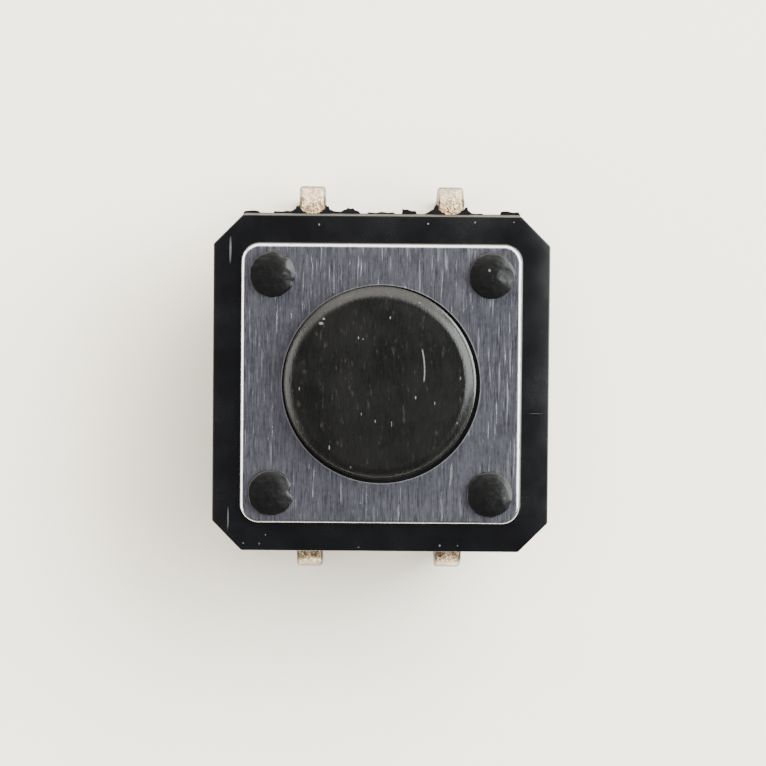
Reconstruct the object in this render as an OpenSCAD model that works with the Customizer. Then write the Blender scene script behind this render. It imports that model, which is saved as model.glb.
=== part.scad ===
// Tactile push button switch: a square moulded base with a press-on metal
// cover held by four heat-formed pegs, a round button, a snap dome and two
// stamped terminals with kinked leads. The origin is the middle of the
// seating face, +Z points out of the button and the leads reach below it.

/* [Base] */
// Width of the square body across its flats
body_w = 12; // [11:0.1:16]
// Height of the moulded base above its seating face
base_h = 3; // [2.5:0.1:5]
// Length cut off each upright corner, along the flats
corner_cut = 1.05; // [0.6:0.05:1.1]
// Width of the shallow slope along the left side of the top
slope_w = 0.58; // [0.2:0.02:0.6]
// Drop of that slope at the outer edge
slope_drop = 0.12; // [0.05:0.01:0.3]

/* [Cover] */
// Bare margin of the base left around the cover
cover_margin = 0.95; // [0.8:0.05:1]
// Thickness of the cover plate
cover_t = 0.3; // [0.2:0.02:0.5]
// Radius of the cover's corners in plan
cover_corner_r = 0.68; // [0.4:0.02:1]
// Radius of the rolled upper edge of the cover
cover_edge_r = 0.18; // [0.05:0.01:0.19]

/* [Pegs] */
// Distance from the cover's edges to the middle of each peg
peg_inset = 1.15; // [1:0.05:1.2]
// Diameter of the pegs where they pass through the cover
peg_d = 1.2; // [0.9:0.05:1.3]
// Diameter of the formed peg heads
head_d = 1.6; // [1.4:0.02:1.7]
// Height of the formed peg heads above the cover
head_h = 0.32; // [0.2:0.02:0.5]
// Radial clearance of the pegs in the cover
peg_clearance = 0.05; // [0.02:0.01:0.08]

/* [Button] */
// Diameter of the part of the button that shows
button_d = 6.9; // [5.5:0.1:7.4]
// Height of the button above the cover at rest
button_proud = 1; // [0.6:0.05:4]
// Radius around the top edge of the button
button_edge_r = 0.4; // [0.1:0.05:0.5]
// Radial clearance between the button and the hole in the cover
button_clearance = 0.09; // [0.04:0.01:0.1]
// Width by which the flange reaches under the cover, all round
flange_lip = 0.45; // [0.3:0.05:0.5]
// Thickness of the flange
flange_t = 0.6; // [0.4:0.05:0.8]
// Radial clearance between the flange and the base
flange_clearance = 0.2; // [0.1:0.05:0.25]
// Diameter of the boss that presses the dome
boss_d = 2; // [1.2:0.1:2.6]
// Travel of the button from rest to its stop
travel = 0.3; // [0.15:0.05:0.35]

/* [Dome] */
// Diameter of the snap dome at its rim
dome_d = 6.2; // [5:0.1:6.6]
// Rise of the dome above its rim, inside
dome_rise = 0.5; // [0.4:0.05:0.6]
// Thickness of the dome
dome_t = 0.08; // [0.06:0.01:0.12]
// Gap between the dome and the boss at rest
dome_gap = 0.02; // [0.01:0.01:0.05]

/* [Terminals] */
// Distance between the two leads on one side
lead_pitch = 5; // [4.4:0.1:6]
// Width of the leads and of the strips inside
lead_w = 0.95; // [0.7:0.05:1.1]
// Thickness of the strip metal
lead_t = 0.3; // [0.2:0.02:0.4]
// Height of the middle of the strips above the seating face
lead_z = 0.6; // [0.4:0.05:0.7]
// Distance from the body's side to the start of the downward bend
bend_out = 0.2; // [0.1:0.05:0.3]
// Radius of that bend, to the middle of the metal
bend_r = 0.3; // [0.25:0.05:0.4]
// Radius of the kink, to the middle of the metal
kink_r = 0.5; // [0.3:0.05:0.8]
// Distance from the body's side to the outside of the kink
kink_out = 0.95; // [0.6:0.05:1.1]
// Depth of the kink below the seating face
kink_drop = 1.1; // [0.6:0.1:1.6]
// Distance from the body's side to the middle of the lead tips
tip_out = 0.25; // [0.1:0.05:0.5]
// Length of the leads below the seating face
lead_drop = 3.5; // [2.8:0.1:4]

/* [Contacts] */
// Thickness of the plastic floor that covers the strips
floor_cover = 0.2; // [0.1:0.05:0.3]
// Height of the dome's rests above that floor
rest_rise = 0.08; // [0.04:0.02:0.12]
// Diameter of the contact pads and of the moulded rests
pad_d = 0.8; // [0.6:0.05:0.9]
// Angle of the pads and rests from the left-to-right axis
pad_angle = 45; // [35:1:50]
// Diameter of the fixed contact under the middle of the dome
pip_d = 1.2; // [0.8:0.1:1.6]
// Width of the tongues that carry the contacts
tongue_w = 0.6; // [0.4:0.05:0.7]

/* [Hidden] */
$fn = 96;
over = 0.1;
side = body_w / 2;
cover_w = body_w - 2 * cover_margin;
cover_top = base_h + cover_t;
peg_at = cover_w / 2 - peg_inset;
hole_d = button_d + 2 * button_clearance;
flange_d = hole_d + 2 * flange_lip;
cavity_d = flange_d + 2 * flange_clearance;
strip_top = lead_z + lead_t / 2;
floor_z = strip_top + floor_cover;
rest_z = floor_z + rest_rise;
rim_r = dome_d / 2;
dome_r = (rim_r * rim_r + dome_rise * dome_rise) / (2 * dome_rise);
dome_top = rest_z + dome_rise + dome_t;
pip_top = rest_z + dome_rise - travel;
head_r = (head_d * head_d / 4 + head_h * head_h) / (2 * head_h);
pad_x = rim_r * cos(pad_angle);
pad_y = rim_r * sin(pad_angle);
bend_steps = 8;
roll_steps = 6;
bend_c = [side + bend_out, lead_z - bend_r];
kink_c = [side + kink_out - lead_t / 2 - kink_r, -kink_drop];
foot_gap = [side + tip_out, -lead_drop] - kink_c;
kink_gap = kink_c - bend_c;
// Directions square to the upper and to the lower leg of a lead
upper_turn = atan2(kink_gap.y, kink_gap.x) + acos((bend_r - kink_r) / norm(kink_gap));
lower_turn = atan2(foot_gap.y, foot_gap.x) + acos(kink_r / norm(foot_gap));

// One piece at each of the four peg places.
module at_pegs(z)
    for (x = [-peg_at, peg_at], y = [-peg_at, peg_at])
        translate([x, y, z])
            children();

// Profile of half a disc whose upper outer edge is rounded.
module half_disc(r, h, edge) {
    square([r, h - edge]);
    square([r - edge, h]);
    translate([r - edge, h - edge])
        circle(edge);
}

// The same profile with its rounding in a few straight steps.
module half_plate(r, h, edge)
    polygon(concat(
        [[0, 0], [r, 0]],
        [
            for (i = [0:roll_steps])
                [r - edge, h - edge] + edge * [cos(i * 90 / roll_steps), sin(i * 90 / roll_steps)]
        ],
        [[0, h]]
    ));

// A bar along Y whose two upper long edges are rolled over.
module rolled_bar(w, length, h, edge)
    rotate([90, 0, 0])
        linear_extrude(length, center = true) {
            half_plate(w / 2, h, edge);
            mirror([1, 0])
                half_plate(w / 2, h, edge);
        }

// A square plate with round corners and a rolled upper edge.
module rolled_plate(w, h, corner, edge) {
    flat = w - 2 * corner;
    rolled_bar(w, flat, h, edge);
    rotate(90)
        rolled_bar(w, flat, h, edge);
    for (x = [-1, 1], y = [-1, 1])
        translate([x * flat / 2, y * flat / 2])
            rotate_extrude()
                half_plate(corner, h, edge);
}

function reverse(list) = [for (i = [len(list) - 1:-1:0]) list[i]];

function arc(centre, r, from, to) = [
    for (i = [0:bend_steps])
        let (turn = from + (to - from) * i / bend_steps)
            centre + r * [cos(turn), sin(turn)]
];

// Where the line of the lower leg through a point meets the lead's end.
function foot(p) = [p.x + (p.y + lead_drop) * tan(lower_turn), -lead_drop];

// One face of a lead seen edge on, a distance off the middle of the metal.
function lead_face(off) =
    let (kink = arc(kink_c, kink_r + off, upper_turn, lower_turn))
        concat(arc(bend_c, bend_r + off, 90, upper_turn), kink, [foot(kink[bend_steps])]);

// Edge-on outline of a strip with a lead at both ends.
module strip_outline() {
    outer = lead_face(lead_t / 2);
    inner = lead_face(-lead_t / 2);
    polygon(concat(
        [for (p = reverse(outer)) [-p.x, p.y]],
        outer,
        reverse(inner),
        [for (p = inner) [-p.x, p.y]]
    ));
}

module strip(x)
    translate([x, 0])
        rotate([90, 0, 90])
            linear_extrude(lead_w, center = true)
                strip_outline();

// A flat tongue from a strip to the contact at (to_x, y).
module tongue(from_x, to_x, y)
    translate([min(from_x, to_x), y - tongue_w / 2, strip_top - lead_t])
        cube([abs(to_x - from_x), tongue_w, lead_t]);

// A round contact raised out of the strip metal.
module contact(x, y, d, top)
    translate([x, y, strip_top - lead_t])
        cylinder(d = d, h = top - strip_top + lead_t);

module base_plan() {
    corner = side - corner_cut;
    polygon([
        [side, corner], [corner, side], [-corner, side], [-side, corner],
        [-side, -corner], [-corner, -side], [corner, -side], [side, -corner]
    ]);
}

// The wedge that the slope takes off the left side of the top.
module slope_cut()
    rotate([90, 0, 0])
        linear_extrude(body_w + 2 * over, center = true)
            polygon([
                [slope_w - side, base_h],
                [slope_w - side, base_h + over],
                [-side - over, base_h + over],
                [-side - over, base_h - slope_drop * (1 + over / slope_w)]
            ]);

module peg_head()
    intersection() {
        translate([0, 0, head_h - head_r])
            sphere(head_r);
        cylinder(d = head_d, h = head_h + over);
    }

module base()
    color("#202328")
        difference() {
            union() {
                difference() {
                    linear_extrude(base_h)
                        base_plan();
                    slope_cut();
                    translate([0, 0, floor_z])
                        cylinder(d = cavity_d, h = base_h);
                }
                for (y = [-pad_y, pad_y])
                    translate([-pad_x, y, floor_z - over])
                        cylinder(d = pad_d, h = rest_rise + over);
                at_pegs(base_h - over)
                    cylinder(d = peg_d, h = cover_t + 2 * over);
                at_pegs(cover_top)
                    peg_head();
            }
            left_metal();
            right_metal();
        }

module cover()
    color("#74727f")
        translate([0, 0, base_h])
            difference() {
                rolled_plate(cover_w, cover_t, cover_corner_r, cover_edge_r);
                translate([0, 0, -over])
                    cylinder(d = hole_d, h = cover_t + 2 * over);
                at_pegs(-over)
                    cylinder(d = peg_d + 2 * peg_clearance, h = cover_t + 2 * over);
            }

module button() {
    flange_z = base_h - flange_t;
    boss_z = dome_top + dome_gap;
    color("#33332d") {
        translate([0, 0, flange_z])
            cylinder(d = flange_d, h = flange_t);
        translate([0, 0, flange_z])
            rotate_extrude()
                half_disc(button_d / 2, cover_top + button_proud - flange_z, button_edge_r);
        translate([0, 0, boss_z])
            cylinder(d = boss_d, h = flange_z - boss_z + over);
    }
}

module snap_dome()
    color("#c4c2ba")
        translate([0, 0, rest_z])
            rotate_extrude()
                intersection() {
                    translate([0, dome_rise - dome_r])
                        difference() {
                            circle(dome_r + dome_t, $fn = 360);
                            circle(dome_r, $fn = 360);
                        }
                    square([rim_r + dome_t, dome_rise + 2 * dome_t]);
                }

module left_metal() {
    strip(-lead_pitch / 2);
    tongue(-lead_pitch / 2, 0, 0);
    contact(0, 0, pip_d, pip_top);
}

module right_metal() {
    strip(lead_pitch / 2);
    for (y = [-pad_y, pad_y]) {
        tongue(lead_pitch / 2, pad_x, y);
        contact(pad_x, y, pad_d, rest_z);
    }
}

module left_terminal()
    color("#c9bba9")
        left_metal();

module right_terminal()
    color("#c9bba9")
        right_metal();

base();
cover();
button();
snap_dome();
left_terminal();
right_terminal();
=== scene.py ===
import math

import bmesh
import bpy
from mathutils import Matrix, Vector, noise


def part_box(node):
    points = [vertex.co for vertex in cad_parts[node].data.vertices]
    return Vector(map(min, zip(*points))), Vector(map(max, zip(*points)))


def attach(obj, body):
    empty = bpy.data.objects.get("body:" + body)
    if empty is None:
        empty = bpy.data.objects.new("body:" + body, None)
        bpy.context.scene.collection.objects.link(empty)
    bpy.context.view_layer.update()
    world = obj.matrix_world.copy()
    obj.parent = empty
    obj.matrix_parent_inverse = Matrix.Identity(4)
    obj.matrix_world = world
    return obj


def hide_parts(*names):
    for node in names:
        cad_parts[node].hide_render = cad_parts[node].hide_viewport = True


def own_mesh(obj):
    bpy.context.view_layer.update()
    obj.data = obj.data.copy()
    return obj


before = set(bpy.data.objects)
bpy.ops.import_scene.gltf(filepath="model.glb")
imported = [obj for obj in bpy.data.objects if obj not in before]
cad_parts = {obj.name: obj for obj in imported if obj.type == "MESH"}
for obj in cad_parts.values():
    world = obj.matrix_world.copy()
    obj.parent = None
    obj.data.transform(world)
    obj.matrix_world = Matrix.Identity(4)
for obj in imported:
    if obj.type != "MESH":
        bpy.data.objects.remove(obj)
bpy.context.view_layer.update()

# Tactile push button switch. Sizes are in millimetres here, and the finished meshes are in metres.
# +Z points out of the button, +X is the side of the right terminal, the leads stand below the base.

mm = 0.001


def nodeBox(node):
    low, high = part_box(node)
    return low / mm, high / mm


_, baseHigh = nodeBox("base")
coverLow, coverHigh = nodeBox("cover")
buttonLow, buttonHigh = nodeBox("button")
domeLow, domeHigh = nodeBox("snap_dome")
leadLow, leadHigh = nodeBox("right_terminal")
_, pipHigh = nodeBox("left_terminal")
halfBody = baseHigh.x
baseTop = coverLow.z
coverTop = coverHigh.z


# shader maths: a wrapped socket adds its own Math nodes
class Signal:
    def __init__(self, shader, socket):
        self.shader = shader
        self.socket = socket

    def __add__(self, other):
        return self.shader.math("ADD", self, other)

    def __sub__(self, other):
        return self.shader.math("SUBTRACT", self, other)

    def __rsub__(self, other):
        return self.shader.math("SUBTRACT", other, self)

    def __mul__(self, other):
        return self.shader.math("MULTIPLY", self, other)

    def __truediv__(self, other):
        return self.shader.math("DIVIDE", self, other)

    def __abs__(self):
        return self.shader.math("ABSOLUTE", self)

    __radd__ = __add__
    __rmul__ = __mul__


class Shader:
    def __init__(self, name):
        self.material = bpy.data.materials.new(name)
        self.material.use_nodes = True
        self.tree = self.material.node_tree
        self.tree.nodes.clear()
        # the pattern space is in millimetres, like every size in this file
        corner = self.node("ShaderNodeTexCoord", {}, {}, "Object")
        self.place = self.node("ShaderNodeVectorMath", {"operation": "SCALE"}, {0: corner, "Scale": 1 / mm})
        self.x, self.y, self.z = (self.node("ShaderNodeSeparateXYZ", {}, {0: self.place}, axis) for axis in "XYZ")

    def node(self, kind, settings, sockets, out=0):
        made = self.tree.nodes.new(kind)
        for key, value in settings.items():
            setattr(made, key, value)
        for key, value in sockets.items():
            if isinstance(value, Signal):
                self.tree.links.new(value.socket, made.inputs[key])
            else:
                made.inputs[key].default_value = value
        return Signal(self, made.outputs[out])

    def math(self, operation, a, b=0.0):
        return self.node("ShaderNodeMath", {"operation": operation}, {0: a, 1: b})

    def larger(self, a, b):
        return self.math("MAXIMUM", a, b)

    def length(self, a, b):
        return self.math("SQRT", a * a + b * b)

    def pattern(self, scale=1.0, stretch=None, detail=3.0, roughness=0.5, distortion=0.0):
        # noise in the pattern space, finer along an axis where its stretch is larger
        vector = self.place
        if stretch:
            vector = self.node("ShaderNodeVectorMath", {"operation": "MULTIPLY"}, {0: vector, 1: stretch})
        sockets = {"Vector": vector, "Scale": scale, "Detail": detail, "Roughness": roughness}
        return self.node("ShaderNodeTexNoise", {}, {**sockets, "Distortion": distortion})

    def rise(self, value, low, high):
        # 0 below low, 1 above high
        sockets = {"Value": value, "From Min": low, "From Max": high}
        return self.node("ShaderNodeMapRange", {"interpolation_type": "SMOOTHSTEP"}, sockets)

    def fall(self, value, low, high):
        return 1 - self.rise(value, low, high)

    def above(self, level, band):
        # rises through a band of heights, which is measured from the level
        return self.rise(self.z, level + band[0], level + band[1])

    def mix(self, factor, a, b):
        sockets = {0: factor, 6: a, 7: b}
        for key in (6, 7):
            if isinstance(sockets[key], tuple):
                sockets[key] = (*sockets[key], 1)
        return self.node("ShaderNodeMix", {"data_type": "RGBA"}, sockets, 2)

    def bump(self, height, depth):
        return self.node("ShaderNodeBump", {}, {"Height": height, "Distance": depth * mm, "Strength": 1.0})

    def spots(self, marks, blur=0.5):
        # a mask of small marks, each (x, y, radius along x, radius along y)
        mask = None
        for x, y, radiusX, radiusY in marks:
            dx = (self.x - x) / radiusX
            dy = (self.y - y) / radiusY
            mark = self.fall(dx * dx + dy * dy, 1 - blur, 1 + blur)
            mask = self.larger(mask, mark) if mask else mark
        return mask

    def surface(self, **sockets):
        return self.node("ShaderNodeBsdfPrincipled", {}, {key.replace("_", " "): sockets[key] for key in sockets})

    def blend(self, factor, a, b):
        return self.node("ShaderNodeMixShader", {}, {0: factor, 1: a, 2: b})

    def finish(self, surface):
        output = self.tree.nodes.new("ShaderNodeOutputMaterial")
        self.tree.links.new(surface.socket, output.inputs["Surface"])
        return self.material


# materials: colours, roughness, bump depths in millimetres, and the limits between which a pattern rises from 0 to 1;
# plain decimals in the sums are the weights of the patterns
plasticIor = 1.5
blackPlastic = {
    "dark": (0.0009, 0.001, 0.0012),
    "light": (0.0021, 0.0023, 0.0026),
    "sides": (0.0036, 0.0038, 0.0043),
    "head": (0.0012, 0.0012, 0.001),
    "headDark": (0.0005, 0.0005, 0.0005),
    # the colour of the dust specks, also used for the painted glints at the crease ends
    "dustAndGlint": (0.09, 0.09, 0.086),
    "roughness": 0.19,
    "headRoughness": 0.26,
    "sideRoughness": 0.6,
    "sideGloss": 0.14,
    "topDepth": 0.0018,
    "headDepth": 0.006,
    "sideDepth": 0.012,
    # heights from the base top where the marks begin and the sides end, and from the cover top where the heads begin
    "markBand": (-0.3, -0.15),
    "sideBand": (-0.17, -0.07),
    "headBand": (0, 0.02),
    "cloud": {"scale": 0.55, "detail": 4.0, "roughness": 0.6},
    "cloudLimits": (0.3, 0.7),
    "grain": {"scale": 26.0, "roughness": 0.65},
    "grainLimits": (0.34, 0.5),
    "drag": {"stretch": (1.2, 9.0, 9.0), "detail": 4.0, "roughness": 0.6},
    "tool": {"stretch": (4.0, 9.0, 4.0), "detail": 4.0, "roughness": 0.6, "distortion": 0.8},
    "toolLimits": (0.35, 0.7),
    "coarse": {"stretch": (7.0, 7.0, 2.6), "detail": 4.0, "roughness": 0.6},
    "coarseLimits": (0.2, 0.8),
    # painted highlights: glints along both ends of the crease on the left, over the raised ridges; and a faint score
    # on the right
    "paintedGlintsAndScore": [(-5.41, 4.72, 0.02, 0.4), (-5.43, -4.9, 0.014, 0.36), (5.55, -1.02, 0.22, 0.004)],
    "glintAndScoreBlur": 0.9,
    # dust and nicks on the margin round the cover
    "specks": [
        (-2.25, 5.66, 0.025, 0.035), (1.63, 5.72, 0.03, 0.03), (3.3, 5.78, 0.03, 0.025), (4.69, 5.8, 0.02, 0.02),
        (2.15, -5.78, 0.035, 0.035), (2.79, -5.78, 0.02, 0.02), (-4.87, -5.74, 0.025, 0.025),
        (-4.3, -5.76, 0.02, 0.03), (-4.08, -5.44, 0.018, 0.022), (-0.75, -5.86, 0.03, 0.012),
        (3.81, 4.1, 0.035, 0.05),
    ],
}


def makeBlackPlastic():
    look = blackPlastic
    s = Shader("black_plastic")
    cloud = s.rise(s.pattern(**look["cloud"]), *look["cloudLimits"])
    grain = s.pattern(**look["grain"])
    drag = s.pattern(**look["drag"])
    flat = s.mix(cloud, look["dark"], look["light"])
    specksAndGlints = s.spots(look["specks"]) * s.rise(grain, *look["grainLimits"])
    # the painted glints at the crease ends join the dust specks in one mask and take the dust colour
    specksAndGlints = s.larger(specksAndGlints, s.spots(look["paintedGlintsAndScore"], look["glintAndScoreBlur"]) * 0.5) * s.above(baseTop, look["markBand"])
    colour = s.mix(specksAndGlints, flat, look["dustAndGlint"])
    roughness = look["roughness"] + (grain - 0.5) * 0.16 + cloud * 0.08 + specksAndGlints * 0.3
    height = s.bump(grain * 0.5 + drag * 0.5 + specksAndGlints * 2.0, look["topDepth"])
    top = s.surface(Base_Color=colour, Roughness=roughness, Normal=height, IOR=plasticIor)
    # the formed heads have the drag of the tool across them
    tool = s.pattern(**look["tool"])
    headColour = s.mix(s.rise(tool, *look["toolLimits"]), look["headDark"], look["head"])
    head = s.surface(
        Base_Color=s.mix(specksAndGlints, headColour, look["dustAndGlint"]), Roughness=look["headRoughness"] + tool * 0.18,
        Normal=s.bump(tool + specksAndGlints, look["headDepth"]), IOR=plasticIor,
    )
    top = s.blend(s.above(coverTop, look["headBand"]), top, head)
    # the sides are dull, with a coarse drawn grain
    coarse = s.pattern(**look["coarse"])
    sideColour = s.mix(s.rise(coarse * 0.6 + cloud * 0.4, *look["coarseLimits"]), look["light"], look["sides"])
    side = s.surface(
        Base_Color=sideColour, Roughness=look["sideRoughness"], Normal=s.bump(coarse, look["sideDepth"]),
        Specular_IOR_Level=look["sideGloss"],
    )
    return s.finish(s.blend(1 - s.above(baseTop, look["sideBand"]), top, side))


coverSteel = {
    "dark": (0.15, 0.15, 0.18),
    "light": (0.52, 0.52, 0.58),
    # near white: partly burnish, partly a painted highlight on the rims
    "scratch": (0.85, 0.86, 0.9),
    "rim": (0.97, 0.97, 0.96),
    # the punched rim of the hole and the rolled rim outside, which begins below the cover top: burnished, and painted
    # near white as a highlight
    "holeRim": (3.54, 3.585),
    "rimBand": (-0.03, -0.004),
    "roughness": 0.3,
    "depth": 0.006,
    # the grain runs along y
    "fine": {"stretch": (30.0, 1.1, 30.0), "detail": 4.0, "roughness": 0.65},
    "broad": {"stretch": (7.0, 0.5, 7.0), "roughness": 0.55},
    "cloud": {"scale": 0.28, "detail": 2.0},
    "pits": {"stretch": (9.0, 5.0, 9.0), "detail": 4.0, "roughness": 0.7, "distortion": 0.4},
    "grainLimits": (0.32, 0.68),
    "line": {"stretch": (19.0, 0.8, 19.0), "detail": 2.0},
    "lineLimits": (0.62, 0.72),
    # long single scratches along the grain: x, y, half width, half length
    "scratches": [
        (-1.4, -3.8, 0.022, 0.42), (3.83, -1.62, 0.022, 0.34), (2.86, -4.35, 0.025, 0.42), (-4.25, 0.8, 0.018, 0.5),
        (3.95, 2.9, 0.018, 0.5), (2.3, 4.35, 0.02, 0.3), (-2.8, 3.6, 0.018, 0.4), (4.55, -2.9, 0.02, 0.5),
        (4.2, 0.2, 0.016, 0.7), (-3.9, -2.5, 0.016, 0.5), (0.3, 4.3, 0.018, 0.25), (3.3, 4.6, 0.02, 0.2),
    ],
    "scratchBlur": 0.8,
}


def makeCoverSteel():
    look = coverSteel
    s = Shader("brushed_steel")
    fine, broad, cloud, pits = (s.pattern(**look[key]) for key in ("fine", "broad", "cloud", "pits"))
    grain = fine * 0.42 + broad * 0.24 + cloud * 0.08 + pits * 0.26
    line = s.rise(s.pattern(**look["line"]), *look["lineLimits"])
    bright = s.larger(line * 0.55, s.spots(look["scratches"], look["scratchBlur"]) * 0.55)
    flat = s.mix(s.rise(grain, *look["grainLimits"]), look["dark"], look["light"])
    # the rolled rim and the punched rim of the hole take the rim colour: burnish, with a painted highlight
    rim = 1 - s.above(coverTop, look["rimBand"])
    punchedRimAndHighlight = s.fall(s.length(s.x, s.y), *look["holeRim"])
    colour = s.mix(s.larger(rim, punchedRimAndHighlight), s.mix(bright, flat, look["scratch"]), look["rim"])
    roughness = look["roughness"] + (fine - 0.5) * 0.25 + bright * 0.12 - rim * 0.2
    height = s.bump(grain + bright * 0.4, look["depth"])
    return s.finish(s.surface(Base_Color=colour, Metallic=1.0, Roughness=roughness, Normal=height))


buttonPlastic = {
    "dark": (0.0012, 0.0012, 0.001),
    "light": (0.0034, 0.0033, 0.0028),
    "scuff": (0.016, 0.0155, 0.0135),
    "mark": (0.09, 0.09, 0.083),
    "roughness": 0.27,
    "depth": 0.0035,
    "cloud": {"scale": 0.5, "detail": 4.0, "roughness": 0.6},
    "cloudLimits": (0.3, 0.7),
    "grain": {"scale": 22.0, "roughness": 0.6},
    "grainLimits": (0.3, 0.5),
    "hair": {"stretch": (14.0, 2.2, 14.0), "roughness": 0.6},
    "hairLimits": (0.2, 0.8),
    "scuffs": {"stretch": (8.0, 2.6, 8.0), "detail": 2.0},
    "scuffLimits": (0.61, 0.77),
    # scuffs and marks stay on the face, which begins this far below the button top
    "faceBand": (-0.45, -0.4),
    "specks": [
        (0.3, 2.42, 0.022, 0.05), (-0.82, 1.7, 0.02, 0.05), (-0.66, 1.66, 0.016, 0.035), (1.33, 2.95, 0.035, 0.022),
        (-2.15, 2.2, 0.08, 0.05), (-2.05, 2.36, 0.04, 0.04), (-1.82, -2.2, 0.022, 0.08), (-1.06, -2.9, 0.018, 0.04),
        (-0.2, -1.25, 0.02, 0.05), (0.38, -1.35, 0.014, 0.09), (1.22, -0.4, 0.026, 0.06), (1.9, -0.6, 0.016, 0.05),
        (-0.7, -1.0, 0.016, 0.05), (-2.9, -0.12, 0.014, 0.06), (2.8, 0.3, 0.016, 0.06), (2.7, -1.3, 0.018, 0.05),
    ],
    # the one long curved scratch
    "scratchX": 1.52,
    "scratchY": 0.74,
    "scratchLength": 0.62,
    "scratchWidth": 0.03,
    "scratchLean": 0.04,
    "scratchBow": 0.06,
    "scratchEnds": (0.6, 1.0),
    # the rougher worn edge, by radius, and its outermost round, which is rubbed to a polish on the right
    "edgeLimits": (2.85, 3.1),
    "polishRadius": (3.22, 3.34),
    "polishBand": (-0.42, -0.34),
    "polishSide": (1.6, 2.7),
    "polishRoughness": 0.12,
}


def makeButtonPlastic():
    look = buttonPlastic
    s = Shader("button_plastic")
    cloud = s.rise(s.pattern(**look["cloud"]), *look["cloudLimits"])
    grain = s.pattern(**look["grain"])
    hair = s.pattern(**look["hair"])
    scuffs = s.rise(s.pattern(**look["scuffs"]), *look["scuffLimits"])
    top = s.above(buttonHigh.z, look["faceBand"])
    alongY = (s.y - look["scratchY"]) / look["scratchLength"]
    middle = look["scratchX"] - alongY * look["scratchLean"] - alongY * alongY * look["scratchBow"]
    scratch = s.fall(abs(s.x - middle), 0.25 * look["scratchWidth"], look["scratchWidth"])
    scratch = scratch * s.fall(alongY * alongY, *look["scratchEnds"])
    mark = s.larger(scratch, s.spots(look["specks"]) * s.rise(grain, *look["grainLimits"])) * top
    flat = s.mix(s.rise(hair * 0.6 + cloud * 0.4, *look["hairLimits"]), look["dark"], look["light"])
    colour = s.mix(mark, s.mix(scuffs * top * 0.7, flat, look["scuff"]), look["mark"])
    roughness = look["roughness"] + (hair - 0.5) * 0.15 + cloud * 0.06 + mark * 0.2
    dx, dy = s.x - button["rest"][0], s.y - button["rest"][1]
    radius = s.length(dx, dy)
    edge = s.rise(radius, *look["edgeLimits"])
    height = grain * (0.5 + edge * 0.6) + hair * (0.3 + edge * 3.0) + scuffs * 0.4 + mark * 2.5
    polish = s.rise(radius, *look["polishRadius"]) * s.above(buttonHigh.z, look["polishBand"])
    polish = polish * s.rise(dx, *look["polishSide"])
    return s.finish(s.surface(
        Base_Color=colour, Roughness=roughness, Normal=s.bump(height, look["depth"]), IOR=plasticIor,
        Coat_Weight=polish, Coat_Roughness=look["polishRoughness"],
    ))


tinPlate = {
    "dark": (0.2, 0.145, 0.09),
    "light": (0.95, 0.745, 0.5),
    # the colour of the painted shade in the creases, on the edges and on the outermost turn
    "edge": (0.04, 0.034, 0.024),
    "copper": (0.95, 0.6, 0.3),
    "metallic": 0.9,
    "roughness": 0.24,
    "depth": 0.09,
    "crumple": {"stretch": (1.0, 1.0, 0.5), "scale": 4.6, "roughness": 0.6, "distortion": 1.4},
    "crumpleLimits": (0.4, 0.57),
    "fine": {"scale": 20.0, "roughness": 0.6},
    "rub": {"stretch": (7.0, 2.4, 1.0), "roughness": 0.6},
    "rubLimits": (0.45, 0.7),
    # how near the middle of a crease the painted shade sits
    "foldLimits": (0.0, 0.05),
    # the copper tint ends at this distance from the base
    "rootLimits": (0.05, 0.4),
    # painted shade on the edges, from the middle of the lead, and on the outermost turn, from its end
    "edgeLimits": (0.375, 0.41),
    "endLimits": (-0.1, -0.05),
}


def makeTinPlate():
    look = tinPlate
    s = Shader("dull_tin")
    crumple, fine, rub = (s.pattern(**look[key]) for key in ("crumple", "fine", "rub"))
    folds = abs(crumple - 0.5)
    reach = abs(s.y)
    across = abs(abs(s.x) - leadMiddle())
    root = s.fall(reach + (crumple - 0.5) * 0.5, *(halfBody + limit for limit in look["rootLimits"]))
    end = s.rise(reach, *(leadHigh.y + limit for limit in look["endLimits"]))
    edge = s.larger(s.rise(across, *look["edgeLimits"]), end)
    # painted shade: darker in the middle of each crease, on the edges and on the outermost turn
    paintedShade = s.larger(s.fall(folds, *look["foldLimits"]) * 0.8, edge * 0.95)
    flat = s.mix(s.rise(crumple * 0.6 + rub * 0.4, *look["crumpleLimits"]), look["dark"], look["light"])
    colour = s.mix(paintedShade * (1 - root * 0.5), s.mix(root * 0.6, flat, look["copper"]), look["edge"])
    roughness = look["roughness"] + (fine - 0.5) * 0.25 + s.rise(rub, *look["rubLimits"]) * 0.12
    height = s.bump(crumple + fine * 0.1 + rub * 0.3, look["depth"])
    return s.finish(s.surface(Base_Color=colour, Metallic=look["metallic"], Roughness=roughness, Normal=height))


springSteel = {
    "dark": (0.5, 0.49, 0.45),
    "light": (0.74, 0.73, 0.68),
    "roughness": 0.22,
    "depth": 0.003,
    "grain": {"stretch": (3.0, 22.0, 22.0), "detail": 4.0, "roughness": 0.6},
    "grainLimits": (0.35, 0.65),
    "cloud": {"scale": 0.8},
    # the darker rim begins at this share of the radius
    "rimShare": 0.8,
}


def makeSpringSteel():
    look = springSteel
    s = Shader("spring_steel")
    grain = s.pattern(**look["grain"])
    cloud = s.pattern(**look["cloud"])
    rim = s.rise(s.length(s.x, s.y), domeHigh.x * look["rimShare"], domeHigh.x)
    worn = s.rise(grain * 0.7 + cloud * 0.3 - rim * 0.1, *look["grainLimits"])
    colour = s.mix(worn, look["dark"], look["light"])
    roughness = look["roughness"] + (grain - 0.5) * 0.15 + rim * 0.1
    height = s.bump(grain, look["depth"])
    return s.finish(s.surface(Base_Color=colour, Metallic=1.0, Roughness=roughness, Normal=height))


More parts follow.
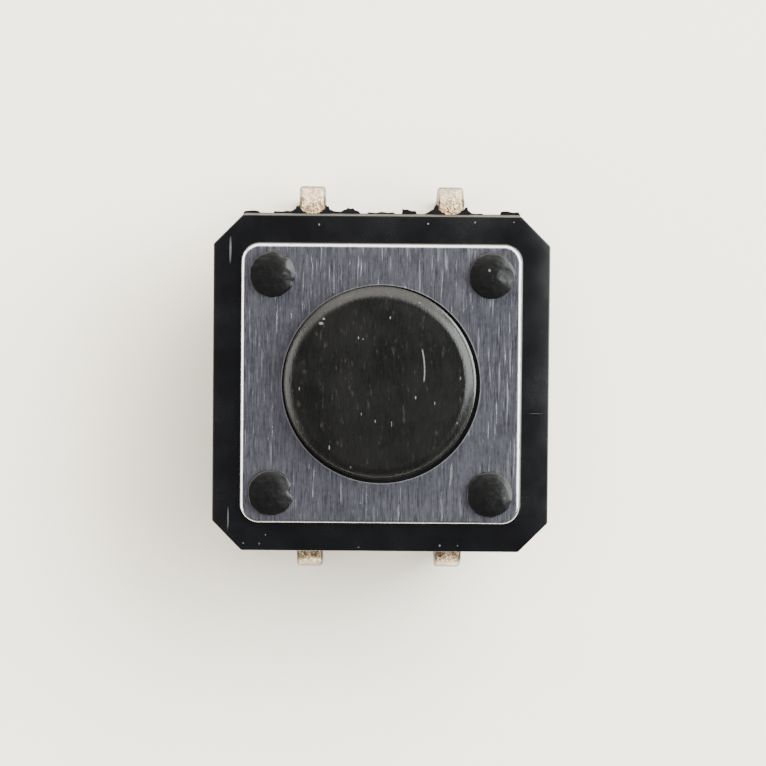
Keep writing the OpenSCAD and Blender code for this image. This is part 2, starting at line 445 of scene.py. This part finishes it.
# mesh helpers
def ring(bm, radius, z, steps, x=0.0, y=0.0):
    made = bmesh.ops.create_circle(
        bm, cap_ends=False, radius=radius, segments=steps, matrix=Matrix.Translation((x, y, z))
    )
    return list({edge for vert in made["verts"] for edge in vert.link_edges})


def growRing(bm, edges, x, y, grow, rise):
    # carries a ring on to a new radius and height, and returns its new edges
    made = bmesh.ops.extrude_edge_only(bm, edges=edges)["geom"]
    verts = [part for part in made if isinstance(part, bmesh.types.BMVert)]
    bmesh.ops.scale(bm, vec=(grow, grow, 1), space=Matrix.Translation((-x, -y, 0)), verts=verts)
    bmesh.ops.translate(bm, vec=(0, 0, rise), verts=verts)
    return [part for part in made if isinstance(part, bmesh.types.BMEdge)]


def lathe(bm, edges, stations, x=0.0, y=0.0):
    # stations are (radius, height); the first is where the ring already is
    for (fromRadius, fromZ), (toRadius, toZ) in zip(stations, stations[1:]):
        edges = growRing(bm, edges, x, y, toRadius / fromRadius, toZ - fromZ)
    return edges


def cap(bm, edges):
    bmesh.ops.edgeloop_fill(bm, edges=edges)


def arc(centreRadius, centreZ, radius, fromTurn, toTurn, steps):
    # stations along an arc, turns in degrees from straight outwards
    turns = [math.radians(fromTurn + (toTurn - fromTurn) * i / steps) for i in range(steps + 1)]
    return [(centreRadius + radius * math.cos(turn), centreZ + radius * math.sin(turn)) for turn in turns]


def block(bm, width, depth, bottom, top):
    place = Matrix.Translation((0, 0, (bottom + top) / 2)) @ Matrix.Diagonal((width, depth, top - bottom, 1))
    bmesh.ops.create_cube(bm, size=1, matrix=place)


def uprightEdges(bm):
    return [edge for edge in bm.edges if abs(edge.verts[0].co.z - edge.verts[1].co.z) > 0.5 * edge.calc_length()]


def bevel(bm, parts, width, steps, affect="EDGES"):
    bmesh.ops.bevel(
        bm, geom=parts, offset=width, offset_type="OFFSET", segments=steps, profile=0.5, affect=affect, material=-1
    )


def topFace(bm, up=1):
    # the largest face that looks straight up, or straight down where up is -1
    level = [face for face in bm.faces if face.normal.z * up > 0.999]
    return max(level, key=lambda face: face.calc_area())


def openFace(bm, face):
    # takes a flat face away and returns the edges of the hole that it leaves
    edges = list(face.edges)
    bmesh.ops.delete(bm, geom=[face], context="FACES_ONLY")
    return edges


def fillFlat(bm, edges, up):
    bmesh.ops.triangle_fill(bm, use_beauty=True, use_dissolve=False, edges=edges, normal=(0, 0, up))


mergeDistance = 0.0004


def finishPiece(bm, name, material, body, stands, sharp):
    bmesh.ops.remove_doubles(bm, verts=bm.verts, dist=mergeDistance)
    bmesh.ops.recalc_face_normals(bm, faces=bm.faces)
    bmesh.ops.scale(bm, vec=(mm, mm, mm), verts=bm.verts)
    mesh = bpy.data.meshes.new(name)
    bm.to_mesh(mesh)
    bm.free()
    mesh.shade_smooth()
    mesh.set_sharp_from_angle(angle=math.radians(sharp))
    mesh.materials.append(material)
    piece = bpy.data.objects.new(name, mesh)
    bpy.context.scene.collection.objects.link(piece)
    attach(piece, body)
    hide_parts(stands)
    return piece


# the moulded base, its four formed pegs and the thin flash along its upper side
base = {
    "cornerCut": 1.05,
    "edgeRound": 0.045,
    "slopeWidth": 0.58,
    "slopeDrop": 0.12,
    "cavityGap": 0.2,
    "floorHeight": 0.95,
    "pegAt": 3.9,
    "pegDiameter": 1.2,
    "headDiameter": 1.64,
    "headHeight": 0.33,
    "headFullness": 7.0,
    "headCrown": 0.115,
    "headGap": 0.004,
    "headSteps": 18,
    "crownSteps": 12,
    "pegSegments": 72,
    "cavitySegments": 160,
    # waves of roughness, each (height, scale)
    "rimWaves": [(0.02, 5.0), (0.014, 14.0)],
    "faceWaves": [(0.008, 4.0), (0.004, 11.0)],
}
# how each peg head was formed: presses are (azimuth, slope, reach, spread) and lean outwards from the reach,
# nicks are (azimuth, width, depth) and bite into the rim
pegHeads = [
    {"x": -1, "y": 1, "seed": 1, "presses": [(8, 12, 0.4, 0.5), (22, 30, 0.72, 0.9)],
     "nicks": [(60, 9, 0.06), (-20, 6, 0.06)]},
    {"x": 1, "y": 1, "seed": 2, "presses": [(4, 12, 0.2, 2.0), (8, 17, 0.55, 3.0), (10, 28, 0.8, 4.0)],
     "nicks": [(-24, 6, 0.03)]},
    {"x": -1, "y": -1, "seed": 3, "presses": [(0, 9, 0.5, 0.5)], "nicks": [(5, 11, 0.17), (84, 14, 0.03)]},
    {"x": 1, "y": -1, "seed": 4, "presses": [(4, 14, 0.5, 3.0), (10, 27, 0.76, 4.0)], "nicks": []},
]
# short raised lines where the mould parts met, at both ends of the crease
ridges = [
    {"x": -5.4, "y": 4.72, "width": 0.09, "length": 1.0, "height": 0.07},
    {"x": -5.42, "y": -4.85, "width": 0.06, "length": 0.85, "height": 0.05},
]
ridgeSink = 0.004
flash = {
    "height": 0.62,
    "thickness": 0.05,
    "reachScale": 1.15,
    "depth": 0.15,
    # it thins out to this share of its thickness at this distance from the side
    "thinBeyond": 0.12,
    "thinShare": 0.35,
    "wave": (0.03, 3.0),
    "seed": 5,
    "webThickness": 0.03,
    "webGap": 0.002,
}
# the web that creeps over each corner of the upper leads: (distance from the lead's middle, reach beyond the side)
rootWeb = [(0.86, 0.0), (0.72, 0.06), (0.62, 0.13), (0.58, 0.24), (0.5, 0.22), (0.46, 0.14), (0.38, 0.12),
           (0.32, 0.06), (0.22, 0.03), (0.16, 0.0)]
# flakes of flash: (x, reach beyond the side) along each one
flashFlakes = [
    [(-5.0, 0.0), (-4.94, 0.06), (-4.6, 0.08), (-4.42, 0.05), (-4.38, 0.0)],
    [(-3.92, 0.0), (-3.88, 0.06), (-3.6, 0.05), (-3.42, 0.08), (-3.3, 0.06), (-3.2, 0.1), (-3.1, 0.16), (-3.03, 0.18),
     (-2.97, 0.28), (-2.93, 0.24), (-2.88, 0.22), (-2.84, 0.13), (-2.74, 0.07), (-2.5, 0.05), (-2.3, 0.07),
     (-2.21, 0.12), (-2.15, 0.26), (-2.09, 0.32), (-2.05, 0.28), (-2.0, 0.27), (-1.96, 0.17), (-1.84, 0.12),
     (-1.74, 0.08), (-1.58, 0.06), (-1.46, 0.07), (-1.38, 0.12), (-1.3, 0.13), (-1.22, 0.19), (-1.12, 0.15),
     (-1.05, 0.18), (-0.96, 0.11), (-0.84, 0.08), (-0.76, 0.0)],
    [(-0.55, 0.0), (-0.48, 0.05), (-0.2, 0.03), (-0.02, 0.07), (0.2, 0.04), (0.42, 0.05), (0.5, 0.0)],
    [(0.72, 0.0), (0.74, 0.17), (0.82, 0.14), (0.92, 0.15), (1.06, 0.1), (1.22, 0.1), (1.28, 0.0)],
    [(1.5, 0.0), (1.66, 0.06), (1.78, 0.13), (1.86, 0.15), (1.9, 0.24), (1.97, 0.32), (2.03, 0.26), (2.08, 0.25),
     (2.14, 0.14), (2.24, 0.08), (2.5, 0.05), (2.72, 0.08), (2.8, 0.16), (2.86, 0.23), (2.93, 0.14), (3.0, 0.15),
     (3.08, 0.1), (3.2, 0.05), (3.42, 0.03), (3.6, 0.04), (3.68, 0.0)],
    [(4.26, 0.0), (4.3, 0.1), (4.52, 0.12), (4.7, 0.08), (4.94, 0.09), (5.0, 0.0)],
]


def raggedness(place, seed, scale):
    return noise.noise(Vector((place.x * scale, place.y * scale, seed * 7.3 + place.z * scale)))


def ripple(place, seed, waves):
    return sum(height * raggedness(place, seed, scale) for height, scale in waves)


def dentHead(verts, x, y, head):
    radius = base["headDiameter"] / 2
    top, floor = coverTop + base["headHeight"], coverTop + base["headGap"]
    for azimuth, slope, reach, spread in head["presses"]:
        turn, fall = math.radians(azimuth), math.tan(math.radians(slope))
        start = top - base["headCrown"] * reach * reach
        for vert in verts:
            dx, dy = vert.co.x - x, vert.co.y - y
            along = dx * math.cos(turn) + dy * math.sin(turn)
            across = dy * math.cos(turn) - dx * math.sin(turn)
            limit = start - fall * (along - reach * radius) + across * across / (2 * spread * radius)
            vert.co.z = min(vert.co.z, limit)
    for vert in verts:
        out = Vector((vert.co.x - x, vert.co.y - y, 0))
        # the middle has no direction to be bitten from
        if out.length < 0.05:
            continue
        turn = math.degrees(math.atan2(out.y, out.x))
        rim = (out.length / radius) ** 4
        bite = ripple(vert.co, head["seed"], base["rimWaves"])
        for azimuth, width, depth in head["nicks"]:
            away = (turn - azimuth + 180) % 360 - 180
            bite -= depth * math.exp(-((away / width) ** 2))
        vert.co += out.normalized() * bite * rim
        vert.co.z = max(vert.co.z + ripple(vert.co, head["seed"] + 9, base["faceWaves"]), floor)


def addPeg(bm, head):
    x, y = head["x"] * base["pegAt"], head["y"] * base["pegAt"]
    radius, shank = base["headDiameter"] / 2, base["pegDiameter"] / 2
    headLow, steps = coverTop + base["headGap"], base["headSteps"]
    foot = ring(bm, shank, baseTop, base["pegSegments"], x, y)
    rim = lathe(bm, foot, [(shank, baseTop), (shank, headLow)], x, y)
    before = set(bm.verts)
    # the full round side of the head, then its crown
    full = 2 / base["headFullness"]
    profile = [(shank, headLow)]
    for i in range(steps):
        turn = math.radians(90 * i / steps)
        out = math.cos(turn) ** full
        lift = base["headHeight"] * math.sin(turn) ** full - base["headCrown"] * out * out * math.sin(turn)
        profile.append((radius * out, headLow + max(lift, 0)))
    outer = profile[-1][0] / radius
    for i in range(1, base["crownSteps"]):
        part = outer * (1 - i / base["crownSteps"])
        profile.append((radius * part, coverTop + base["headHeight"] - base["headCrown"] * part * part))
    cap(bm, lathe(bm, rim, profile, x, y))
    dentHead([vert for vert in bm.verts if vert not in before], x, y, head)
    return foot


def addFlash(bm, flake, level, thickness):
    # the first and the last point lie inside the base
    points = [(flake[0][0], -flash["depth"])] + flake + [(flake[-1][0], -flash["depth"])]
    outline = [bm.verts.new((x, halfBody + reach * flash["reachScale"], level)) for x, reach in points]
    face = bm.faces.new(outline)
    made = bmesh.ops.extrude_face_region(bm, geom=[face])["geom"]
    height, scale = flash["wave"]
    for vert in (part for part in made if isinstance(part, bmesh.types.BMVert)):
        share = flash["thinShare"] if vert.co.y > halfBody + flash["thinBeyond"] else 1
        vert.co.z += thickness * share + height * abs(raggedness(vert.co, flash["seed"], scale))


def addRidge(bm, look):
    shape = Matrix.Diagonal((look["width"], look["length"], look["height"], 1))
    place = Matrix.Translation((look["x"], look["y"], baseTop - ridgeSink))
    bmesh.ops.create_uvsphere(bm, u_segments=24, v_segments=16, radius=0.5, matrix=place @ shape)


def makeBase(material):
    bm = bmesh.new()
    block(bm, 2 * halfBody, 2 * halfBody, 0, baseTop)
    bevel(bm, uprightEdges(bm), base["cornerCut"], 1)
    # the strip of the top left of the crease slopes down to the side
    crease = base["slopeWidth"] - halfBody
    top = topFace(bm)
    bmesh.ops.bisect_plane(
        bm, geom=[top, *top.edges, *top.verts], dist=0.0001, plane_co=(crease, 0, 0), plane_no=(1, 0, 0)
    )
    for vert in bm.verts:
        if vert.co.z > baseTop - 0.01 and vert.co.x < crease - 0.001:
            vert.co.z -= base["slopeDrop"] * (crease - vert.co.x) / base["slopeWidth"]
    bm.normal_update()
    # the crease and every edge that turns by more than 23 degrees are rounded
    creaseEdges = [edge for edge in bm.edges if all(abs(vert.co.x - crease) < 0.001 for vert in edge.verts)]
    corners = [edge for edge in bm.edges if edge.calc_face_angle(0) > 0.4]
    bevel(bm, corners + creaseEdges, base["edgeRound"], 3)
    bm.normal_update()

    # the round cavity and the peg shanks are cut into the flat top
    cavityRadius = buttonHigh.x + base["cavityGap"]
    rims = openFace(bm, topFace(bm))
    cavity = ring(bm, cavityRadius, baseTop, base["cavitySegments"])
    rims += cavity
    for head in pegHeads:
        rims += addPeg(bm, head)
    fillFlat(bm, rims, 1)
    cap(bm, lathe(bm, cavity, [(cavityRadius, baseTop), (cavityRadius, base["floorHeight"])]))
    for flake in flashFlakes:
        addFlash(bm, flake, flash["height"], flash["thickness"])
    webHeight = terminal["height"] + terminal["thickness"] / 2 + flash["webGap"]
    for middle in (-leadMiddle(), leadMiddle()):
        for side in (-1, 1):
            flake = [(middle + side * x, reach) for x, reach in rootWeb]
            addFlash(bm, flake, webHeight, flash["webThickness"])
    for look in ridges:
        addRidge(bm, look)
    finishPiece(bm, "moulded_base", material, "housing", "base", sharp=34)


# the stamped cover plate
cover = {
    "width": 10.05,
    "cornerRadius": 0.68,
    "edgeRoll": 0.175,
    "edgeFall": 0.27,
    "rollSteps": 10,
    "flatMargin": 0.02,
    "holeRadius": 3.526,
    "holeRoll": 0.012,
    "holeSegments": 180,
    "pegHoleDiameter": 1.3,
    "pegHoleSegments": 48,
    "cornerSteps": 14,
}


def makeCover(material):
    bm = bmesh.new()
    roll, fall, steps, margin = (cover[key] for key in ("edgeRoll", "edgeFall", "rollSteps", "flatMargin"))
    block(bm, cover["width"], cover["width"], baseTop, coverTop - fall)
    bevel(bm, uprightEdges(bm), cover["cornerRadius"], cover["cornerSteps"])
    bm.normal_update()
    face = topFace(bm)
    for i in range(steps):
        near, far = math.radians(90 * i / steps), math.radians(90 * (i + 1) / steps)
        bmesh.ops.inset_region(
            bm, faces=[face], thickness=roll * (math.cos(near) - math.cos(far)),
            depth=fall * (math.sin(far) - math.sin(near)), use_even_offset=True, use_boundary=True,
        )
    bmesh.ops.inset_region(bm, faces=[face], thickness=margin, depth=0, use_even_offset=True, use_boundary=True)
    bm.normal_update()
    upper = openFace(bm, topFace(bm))
    lower = openFace(bm, topFace(bm, -1))
    radius, edge = cover["holeRadius"], cover["holeRoll"]
    hole = ring(bm, radius + edge + margin, coverTop, cover["holeSegments"])
    upper += hole
    wall = [(radius + edge + margin, coverTop)]
    wall += arc(radius + edge, coverTop - edge, edge, 90, 180, 5)
    wall += [(radius, baseTop)]
    lower += lathe(bm, hole, wall)
    radius = cover["pegHoleDiameter"] / 2
    for x in (-base["pegAt"], base["pegAt"]):
        for y in (-base["pegAt"], base["pegAt"]):
            hole = ring(bm, radius, coverTop, cover["pegHoleSegments"], x, y)
            upper += hole
            lower += lathe(bm, hole, [(radius, coverTop), (radius, baseTop)], x, y)
    fillFlat(bm, upper, 1)
    fillFlat(bm, lower, -1)
    finishPiece(bm, "cover_plate", material, "housing", "cover", sharp=40)


# the button, turned from its profile
button = {
    "diameter": 6.83,
    "edgeWidth": 0.43,
    "edgeStart": 9.0,
    "edgeEnd": 46.0,
    "edgeRound": 0.1,
    "edgeSteps": 14,
    "footFillet": 0.03,
    "flangeThickness": 0.6,
    "flangeRound": 0.05,
    "bossDiameter": 2.0,
    "segments": 160,
    # it rests a little to the upper left in its hole
    "rest": (-0.05, 0.085),
}


def spinProfile(bm, stations, steps):
    verts = [bm.verts.new((radius, 0, z)) for radius, z in stations]
    edges = [bm.edges.new(pair) for pair in zip(verts, verts[1:])]
    bmesh.ops.spin(
        bm, geom=verts + edges, cent=(0, 0, 0), axis=(0, 0, 1), angle=math.tau, steps=steps, use_merge=True
    )


def makeButton(material):
    bm = bmesh.new()
    radius, boss = button["diameter"] / 2, button["bossDiameter"] / 2
    out, level = radius - button["edgeWidth"], buttonHigh.z
    stations = [(0, level), (radius / 2, level), (out, level)]
    # the worn edge: a slope that steepens outwards and ends in a small round
    small, steps = button["edgeRound"], button["edgeSteps"]
    step = (button["edgeWidth"] - small / 2) / steps
    for i in range(steps):
        slope = button["edgeStart"] + (button["edgeEnd"] - button["edgeStart"]) * (i + 0.5) / steps
        out, level = out + step, level - step * math.tan(math.radians(slope))
        stations.append((out, level))
    last = 90 - button["edgeEnd"]
    stations += arc(radius - small, level - small * math.sin(math.radians(last)), small, last, 0, 5)[1:]
    # the foot of the button, the flange under the cover and the boss
    fillet, lip = button["footFillet"], button["flangeRound"]
    stations += [(radius, baseTop + fillet), (radius + fillet, baseTop), (buttonHigh.x - lip, baseTop)]
    stations += arc(buttonHigh.x - lip, baseTop - lip, lip, 60, 0, 2)
    flangeLow = baseTop - button["flangeThickness"]
    stations += [(buttonHigh.x, flangeLow), (boss, flangeLow), (boss, buttonLow.z), (0, buttonLow.z)]
    spinProfile(bm, stations, button["segments"])
    bmesh.ops.translate(bm, vec=(*button["rest"], 0), verts=bm.verts)
    finishPiece(bm, "push_button", material, "button", "button", sharp=34)


# the snap dome under the button
dome = {"thickness": 0.08, "rise": 0.5, "rimRadius": 3.1, "steps": 16, "segments": 96, "pressed": 0.5}


def makeDome(material):
    bm = bmesh.new()
    rim, rise, thick = dome["rimRadius"], dome["rise"], dome["thickness"]
    radius = (rim * rim + rise * rise) / (2 * rise)
    centreZ = domeLow.z + rise - radius
    rimTurn = math.degrees(math.acos(rim / radius))
    outer = arc(0, centreZ, radius + thick, 90, rimTurn, dome["steps"])
    inner = arc(0, centreZ, radius, rimTurn, 90, dome["steps"])
    # both profiles end exactly on the axis, and the rim doesn't go below its seat
    outer[-1] = (outer[-1][0], max(outer[-1][1], domeLow.z))
    outer[0], inner[-1] = (0, outer[0][1]), (0, inner[-1][1])
    spinProfile(bm, outer + inner, dome["segments"])
    piece = finishPiece(bm, "dome_spring", material, "housing", "snap_dome", sharp=30)
    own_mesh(piece)


# the two stamped terminals: a flat strip through the base, bent down and kinked at both ends
terminal = {
    "width": 0.95,
    "thickness": 0.3,
    "height": 0.6,
    "edgeRound": 0.11,
    "outerRun": 0.2,
    "bendOut": 0.2,
    "bendRadius": 0.3,
    "kinkDrop": 1.1,
    "kinkRadius": 0.5,
    "tipOut": 0.25,
    "dent": 0.014,
    # scales of the dents along x and along y, how far from the base they begin, and the flat end of each tip
    "dentScales": (2.6, 3.4),
    "dentFrom": 0.02,
    "tipFlat": 0.05,
    "dentSeeds": {1: 11, -1: 23},
    "contactDiameter": 0.8,
    "contactChamfer": 0.03,
    "contactSegments": 40,
    "pipDiameter": 1.2,
    # the tongues are a little thinner than the strip, so that their faces don't coincide
    "tongueWidth": 0.6,
    "tongueThickness": 0.29,
    "padAngle": 45,
    # in how many pieces each run of a lead is drawn
    "rootPieces": 4,
    "bendPieces": 8,
    "upperPieces": 14,
    "kinkPieces": 6,
    "lowerPieces": 20,
}


def leadMiddle():
    return leadHigh.x - terminal["width"] / 2


def drawFace(bm, face, pieces, move):
    # draws the end face on in equal pieces, each of them placed by move
    for _ in range(pieces):
        made = bmesh.ops.extrude_face_region(bm, geom=[face])["geom"]
        fresh = next(part for part in made if isinstance(part, bmesh.types.BMFace))
        bmesh.ops.delete(bm, geom=[face], context="FACES_ONLY")
        move(list(fresh.verts))
        face = fresh
    return face


def pushFace(bm, face, step, pieces):
    return drawFace(bm, face, pieces, lambda verts: bmesh.ops.translate(bm, vec=step / pieces, verts=verts))


def bendFace(bm, face, centre, turn, pieces):
    # turns round a line along X through the centre, towards -Z where turn is positive
    spin = Matrix.Rotation(-math.radians(turn) / pieces, 3, "X")
    return drawFace(bm, face, pieces, lambda verts: bmesh.ops.rotate(bm, cent=centre, matrix=spin, verts=verts))


def addLead(bm, x):
    size = terminal
    bendCentre = Vector((x, halfBody + size["bendOut"], size["height"] - size["bendRadius"]))
    kinkCentre = Vector((x, leadHigh.y - size["thickness"] / 2 - size["kinkRadius"], -size["kinkDrop"]))
    foot = Vector((x, halfBody + size["tipOut"], leadLow.z))
    # angles square to the upper and the lower leg, in degrees above straight outwards
    between = kinkCentre - bendCentre
    below = foot - kinkCentre
    radii = size["bendRadius"] - size["kinkRadius"]
    upper = math.degrees(math.atan2(between.z, between.y) + math.acos(radii / between.length))
    lower = math.degrees(math.atan2(below.z, below.y) + math.acos(size["kinkRadius"] / below.length))

    def square(turn, centre, radius):
        return centre + radius * Vector((0, math.cos(math.radians(turn)), math.sin(math.radians(turn))))

    # the rounded section of the strip, standing at the middle of the base
    place = Matrix.Translation((x, 0, size["height"])) @ Matrix.Rotation(math.radians(-90), 4, "X")
    verts = bmesh.ops.create_grid(bm, x_segments=1, y_segments=1, size=0.5, matrix=place)["verts"]
    space = Matrix.Translation((-x, 0, -size["height"]))
    bmesh.ops.scale(bm, vec=(size["width"], 1, size["thickness"]), space=space, verts=verts)
    bevel(bm, verts, size["edgeRound"], 3, "VERTICES")
    face = max(bm.faces, key=lambda part: part.calc_area())
    # along the base, round the bend, down the upper leg, round the kink and down to the tip
    face = pushFace(bm, face, Vector((0, halfBody - size["outerRun"], 0)), 1)
    face = pushFace(bm, face, Vector((0, size["outerRun"] + size["bendOut"], 0)), size["rootPieces"])
    face = bendFace(bm, face, bendCentre, 90 - upper, size["bendPieces"])
    start, end = square(upper, bendCentre, size["bendRadius"]), square(upper, kinkCentre, size["kinkRadius"])
    face = pushFace(bm, face, end - start, size["upperPieces"])
    face = bendFace(bm, face, kinkCentre, upper - lower, size["kinkPieces"])
    start = square(lower, kinkCentre, size["kinkRadius"])
    face = pushFace(bm, face, foot - start, size["lowerPieces"])
    for vert in face.verts:
        vert.co.z = leadLow.z


def dentLeads(bm, seed):
    # only inwards along y, so that the leads stay within their reach; the tips stay flat
    scaleX, scaleY = terminal["dentScales"]
    for vert in bm.verts:
        if abs(vert.co.y) > halfBody + terminal["dentFrom"] and vert.co.z > leadLow.z + terminal["tipFlat"]:
            vert.co.x += terminal["dent"] * raggedness(vert.co, seed, scaleX)
            inwards = terminal["dent"] * abs(raggedness(vert.co, seed + 3, scaleY))
            vert.co.y -= math.copysign(inwards, vert.co.y)


def addContact(bm, x, y, diameter, top):
    radius, cut = diameter / 2, terminal["contactChamfer"]
    strip = terminal["height"] - terminal["thickness"] / 2
    post = ring(bm, radius, strip, terminal["contactSegments"], x, y)
    cap(bm, post)
    cap(bm, lathe(bm, post, [(radius, strip), (radius, top - cut), (radius - cut, top)], x, y))


def addTongue(bm, fromX, toX, y):
    place = Matrix.Translation(((fromX + toX) / 2, y, terminal["height"]))
    shape = Matrix.Diagonal((abs(toX - fromX), terminal["tongueWidth"], terminal["tongueThickness"], 1))
    bmesh.ops.create_cube(bm, size=1, matrix=place @ shape)


def makeTerminal(name, node, side, material, contacts):
    x = side * leadMiddle()
    bm = bmesh.new()
    addLead(bm, x)
    bmesh.ops.mirror(bm, geom=list(bm.verts) + list(bm.edges) + list(bm.faces), axis="Y", merge_dist=0.001)
    # the two halves meet at the middle, where the starting faces go
    middle = [face for face in bm.faces if all(abs(vert.co.y) < 0.001 for vert in face.verts)]
    bmesh.ops.delete(bm, geom=middle, context="FACES_ONLY")
    dentLeads(bm, terminal["dentSeeds"][side])
    for toX, y, diameter, top in contacts:
        addTongue(bm, x, toX, y)
        addContact(bm, toX, y, diameter, top)
    finishPiece(bm, name, material, "housing", node, sharp=30)


print("materials")
blackMaterial = makeBlackPlastic()
tinMaterial = makeTinPlate()
print("base")
makeBase(blackMaterial)
print("cover")
makeCover(makeCoverSteel())
print("button")
makeButton(makeButtonPlastic())
print("dome")
makeDome(makeSpringSteel())
print("terminals")
padX = dome["rimRadius"] * math.cos(math.radians(terminal["padAngle"]))
padY = dome["rimRadius"] * math.sin(math.radians(terminal["padAngle"]))
pads = [(padX, y, terminal["contactDiameter"], domeLow.z) for y in (-padY, padY)]
makeTerminal("terminal_right", "right_terminal", 1, tinMaterial, pads)
makeTerminal("terminal_left", "left_terminal", -1, tinMaterial, [(0, 0, terminal["pipDiameter"], pipHigh.z)])


# the pale surface that it stands on
surface = {
    "size": 600.0,
    "light": (0.93, 0.87, 0.74),
    "dark": (0.89, 0.82, 0.69),
    "roughness": 0.6,
    "depth": 0.01,
    "mottle": {"scale": 0.03},
    "fine": {"scale": 1.8, "roughness": 0.6},
}


def makeSurface():
    s = Shader("pale_surface")
    mottle = s.pattern(**surface["mottle"])
    fine = s.pattern(**surface["fine"])
    colour = s.mix(mottle * 0.8 + fine * 0.2, surface["dark"], surface["light"])
    roughness = surface["roughness"] + fine * 0.1
    material = s.finish(s.surface(Base_Color=colour, Roughness=roughness, Normal=s.bump(fine, surface["depth"])))
    bm = bmesh.new()
    place = Matrix.Translation((0, 0, leadLow.z * mm))
    bmesh.ops.create_grid(bm, x_segments=1, y_segments=1, size=surface["size"] * mm / 2, matrix=place)
    mesh = bpy.data.meshes.new("floor")
    bm.to_mesh(mesh)
    bm.free()
    mesh.materials.append(material)
    floor = bpy.data.objects.new("floor", mesh)
    bpy.context.scene.collection.objects.link(floor)


# soft light, each from a span of directions: turn is counted from +X towards +Y, rise from the floor
lights = [
    {"name": "far_window", "turn": (42, 138), "rise": (4, 54), "glow": 4.2, "colour": (1.0, 0.96, 0.88)},
    {"name": "right_window", "turn": (-12, 42), "rise": (14, 60), "glow": 10.0, "colour": (0.93, 1.0, 0.97)},
    {"name": "left_wall", "turn": (146, 206), "rise": (2, 30), "glow": 4.8, "colour": (1.0, 0.97, 0.93)},
]
# even fills that the polished faces do not mirror: one overhead, one from the upper right for the soft shadow
fills = [
    {"name": "overhead_fill", "turn": (0, 90), "rise": (64, 116), "glow": 4.6, "colour": (1.0, 0.98, 0.94)},
    {"name": "side_fill", "turn": (15, 75), "rise": (22, 58), "glow": 16.0, "colour": (1.0, 0.98, 0.95)},
]
lightDistance = 400.0
widestHalfTurn = 0.9
room = {"colour": (0.95, 0.93, 1.0), "strength": 0.24}


def addLamp(look):
    turn, rise = (math.radians(sum(look[key]) / 2) for key in ("turn", "rise"))
    halfTurn, halfRise = (math.radians(look[key][1] - look[key][0]) / 2 for key in ("turn", "rise"))
    out = Vector((math.cos(turn) * math.cos(rise), math.sin(turn) * math.cos(rise), math.sin(rise)))
    data = bpy.data.lights.new(look["name"], "AREA")
    data.shape = "RECTANGLE"
    spread = max(math.cos(rise), math.tan(halfRise)) * math.tan(min(halfTurn, widestHalfTurn))
    data.size = 2 * lightDistance * spread * mm
    data.size_y = 2 * lightDistance * math.tan(halfRise) * mm
    data.energy = look["glow"] * math.pi * data.size * data.size_y
    data.color = look["colour"]
    lamp = bpy.data.objects.new(look["name"], data)
    facing = out.to_track_quat("Z", "Y").to_matrix().to_4x4()
    lamp.matrix_world = Matrix.Translation(out * lightDistance * mm) @ facing
    bpy.context.scene.collection.objects.link(lamp)
    return lamp


def makeLights():
    for look in lights:
        addLamp(look)
    for look in fills:
        addLamp(look).visible_glossy = False
    world = bpy.data.worlds.new("room")
    world.use_nodes = True
    background = world.node_tree.nodes["Background"]
    background.inputs["Color"].default_value = (*room["colour"], 1)
    background.inputs["Strength"].default_value = room["strength"]
    bpy.context.scene.world = world


# the camera looks almost straight down, leaning a little towards +Y
view = {
    "distance": 160.0,
    "leanY": 3.57,
    "leanX": -0.53,
    "roll": 0.51,
    "width": 27.27,
    "aside": (0.071, 0.048),
    "sensor": 36.0,
}


def makeCamera():
    leanY, leanX, roll = (math.radians(view[key]) for key in ("leanY", "leanX", "roll"))
    back = Vector((math.sin(leanX) * math.cos(leanY), math.sin(leanY), math.cos(leanY) * math.cos(leanX)))
    back.normalize()
    right = Vector((0, 1, 0)).cross(back).normalized()
    up = back.cross(right)
    turnedRight = math.cos(roll) * right + math.sin(roll) * up
    turnedUp = math.cos(roll) * up - math.sin(roll) * right
    target = Vector((0, 0, coverTop)) + view["aside"][0] * turnedRight + view["aside"][1] * turnedUp
    place = (target + back * view["distance"]) * mm
    data = bpy.data.cameras.new("camera")
    data.sensor_width = view["sensor"]
    data.lens = data.sensor_width * view["distance"] / view["width"]
    data.clip_start, data.clip_end = 0.01, 5
    camera = bpy.data.objects.new("camera", data)
    turn = Matrix((turnedRight, turnedUp, back)).transposed().to_4x4()
    camera.matrix_world = Matrix.Translation(place) @ turn
    bpy.context.scene.collection.objects.link(camera)
    bpy.context.scene.camera = camera


print("stage")
makeSurface()
makeLights()
makeCamera()
